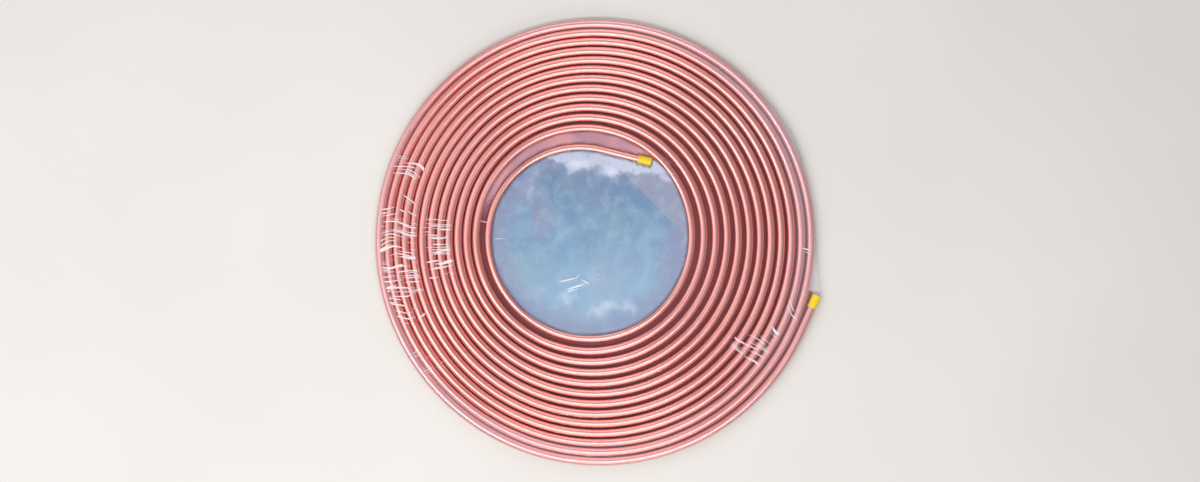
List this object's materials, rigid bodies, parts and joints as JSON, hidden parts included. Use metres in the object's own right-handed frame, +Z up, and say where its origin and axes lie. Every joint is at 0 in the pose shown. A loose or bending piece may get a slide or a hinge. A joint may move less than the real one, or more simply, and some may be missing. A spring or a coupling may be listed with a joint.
{
  "type": "copper tube coil",
  "caption": "Flat single-layer coil of soft copper refrigeration tube, loosely wound, with a yellow push-on cap on each end, in clear shrink film",
  "frame": {"origin": "on the underside of the film, on the axis of the coil's innermost turn", "axes": "+Z up, the coil lies flat; the turns lie closest together on the -X side and open up on the +X side"},
  "size_m": [0.5274, 0.5274, 0.0128],
  "materials": {
    "copper": "satin drawn copper",
    "cap": "moulded yellow polyethylene",
    "film": "clear gloss film"
  },
  "bodies": {
    "root": {"copper_tube": "copper", "inner_end_cap": "cap", "outer_end_cap": "cap", "shrink_film": "film"}
  },
  "joints": []
}
